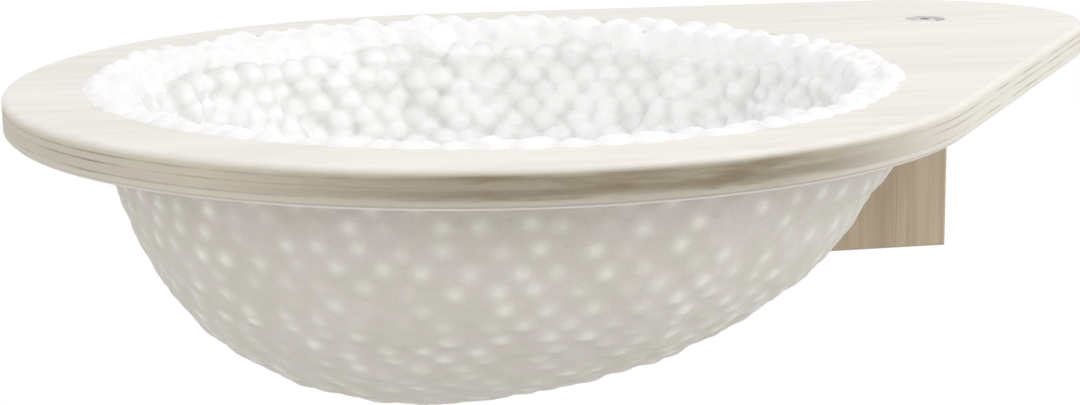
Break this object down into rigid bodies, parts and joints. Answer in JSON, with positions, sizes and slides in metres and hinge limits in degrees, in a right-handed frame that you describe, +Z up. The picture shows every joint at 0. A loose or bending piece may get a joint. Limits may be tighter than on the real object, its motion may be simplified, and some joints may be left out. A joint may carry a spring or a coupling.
{
  "type": "cat climbing wall shelf with hanging nest",
  "caption": "Wall shelf for cats: teardrop plywood board on a wooden bracket, with a round hole that holds a knitted hanging nest.",
  "frame": {"origin": "middle of the four wall screw holes of the bracket, on the wall plate's back face", "axes": "+X along the wall to the right as seen from the room, +Y into the wall, +Z up"},
  "size_m": [0.5093, 0.403, 0.1344],
  "materials": {
    "birch_plywood": "matt clear lacquer",
    "solid_wood": "sanded, oiled",
    "dowel_wood": "plain beech",
    "zinc_plated_steel": "zinc plated",
    "brass_insert": "plain",
    "bright_steel": "bright",
    "white_yarn": "soft chenille knit"
  },
  "bodies": {
    "bracket": {"bracket_wall_plate": "solid_wood", "bracket_arm": "solid_wood", "bracket_dowels": "dowel_wood", "bracket_screws": "zinc_plated_steel", "threaded_insert": "brass_insert", "board_bolt": "bright_steel", "bolt_washer": "bright_steel"},
    "shelf": {"shelf_board": "birch_plywood"},
    "nest": {"nest_hoop": "zinc_plated_steel", "nest_rim": "white_yarn", "nest_bowl": "white_yarn"}
  },
  "joints": [
    {"name": "board_swivel", "type": "hinge", "parent": "bracket", "child": "shelf", "pos_m": [0, -0.08, 0.048], "axis": [0, 0, 1], "range_deg": [0, 124]},
    {"name": "nest_lift", "type": "slide", "parent": "shelf", "child": "nest", "axis": [0, 0, 1], "range_m": [0, 0.15]}
  ]
}
